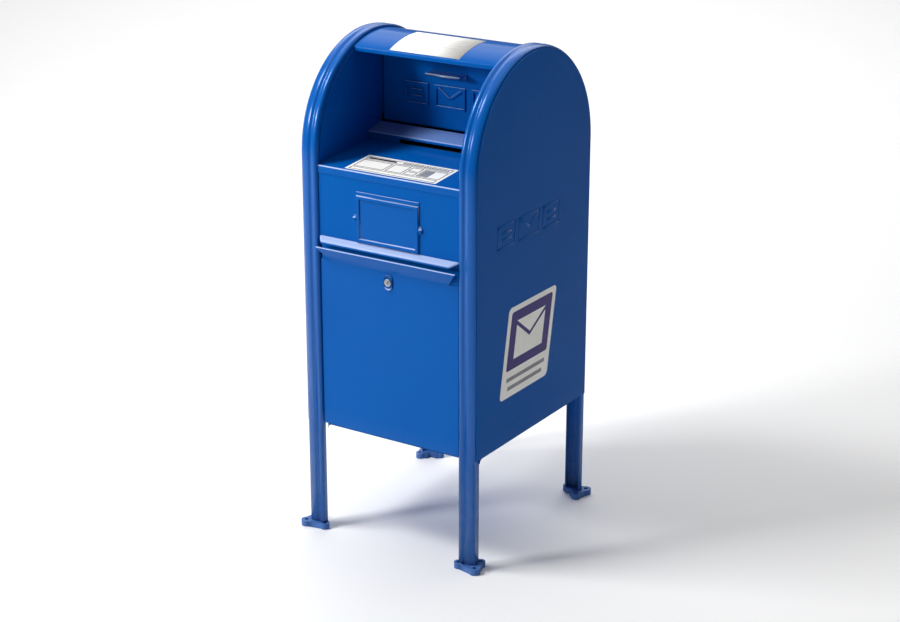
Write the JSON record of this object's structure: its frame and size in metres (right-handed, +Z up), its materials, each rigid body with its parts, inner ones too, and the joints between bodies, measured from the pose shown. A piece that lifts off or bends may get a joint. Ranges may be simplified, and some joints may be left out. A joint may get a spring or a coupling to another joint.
{
  "type": "street mail collection box",
  "caption": "Free-standing mail collection box on legs with arched rims, a hooded deposit recess, a pull-down hopper door and a locked drop-down collection door.",
  "frame": {"origin": "on the ground under the middle of the four feet", "axes": "+Z up, +X to the right seen from the front, the front with both doors faces -Y"},
  "size_m": [0.544, 0.588, 1.2699],
  "materials": {
    "blue_paint": "semi-gloss enamel over steel sheet",
    "hopper_paint": "satin enamel over steel sheet",
    "foot_paint": "semi-gloss enamel over a rough casting",
    "label_film": "printed vinyl",
    "decal_film": "printed vinyl",
    "zinc_steel": "zinc plated",
    "brass": "worn satin",
    "rubber": "matt",
    "nylon": "natural, matt"
  },
  "bodies": {
    "cabinet": {"leg_front_left": "blue_paint", "leg_front_right": "blue_paint", "leg_rear_left": "blue_paint", "leg_rear_right": "blue_paint", "foot_front_left": "foot_paint", "foot_front_right": "foot_paint", "foot_rear_left": "foot_paint", "foot_rear_right": "foot_paint", "arch_rim_left": "blue_paint", "arch_rim_right": "blue_paint", "side_panel_left": "blue_paint", "side_panel_right": "blue_paint", "hood_cover": "blue_paint", "back_panel": "blue_paint", "floor_pan": "blue_paint", "door_sill": "blue_paint", "upper_front_panel": "blue_paint", "shelf": "blue_paint", "slot_plate": "blue_paint", "slot_teeth": "zinc_steel", "recess_wall_left": "blue_paint", "recess_wall_right": "blue_paint", "strike_bar": "blue_paint", "door_jamb_left": "blue_paint", "door_jamb_right": "blue_paint", "drip_ledge": "blue_paint", "card_frame": "blue_paint", "card_frame_studs": "blue_paint", "anti_theft_baffle": "blue_paint", "pivot_bush_left": "nylon", "pivot_bush_right": "nylon", "hopper_bumpers": "rubber", "door_bumpers": "rubber", "hinge_fixed_leaf": "zinc_steel", "hinge_pin": "zinc_steel", "sill_rivets": "zinc_steel", "side_decal_left": "decal_film", "side_decal_right": "decal_film", "shelf_label": "label_film", "hood_label": "label_film"},
    "hopper": {"deposit_door": "blue_paint", "pull_handle": "blue_paint", "pull_handle_rivets": "blue_paint", "hopper_cheek_left": "hopper_paint", "hopper_cheek_right": "hopper_paint", "hopper_pan": "hopper_paint", "counterweight": "zinc_steel", "pivot_rod": "zinc_steel"},
    "collection_door": {"collection_door": "blue_paint", "door_top_channel": "blue_paint", "door_stiffener": "blue_paint", "door_liner": "blue_paint", "hinge_door_leaf": "zinc_steel", "door_rivets": "zinc_steel", "lock_escutcheon": "blue_paint", "lock_body": "zinc_steel", "lock_nut": "zinc_steel"},
    "lock": {"lock_plug": "brass", "lock_cam": "zinc_steel", "cam_nut": "zinc_steel"}
  },
  "joints": [
    {"name": "hopper_hinge", "type": "hinge", "parent": "cabinet", "child": "hopper", "pos_m": [0, 0.015, 1.034], "axis": [1, 0, 0], "range_deg": [0, 55]},
    {"name": "collection_door_hinge", "type": "hinge", "parent": "cabinet", "child": "collection_door", "pos_m": [0, -0.261, 0.3], "axis": [1, 0, 0], "range_deg": [0, 120]},
    {"name": "lock_turn", "type": "hinge", "parent": "collection_door", "child": "lock", "pos_m": [0, -0.26, 0.708], "axis": [0, -1, 0], "range_deg": [0, 90]}
  ]
}
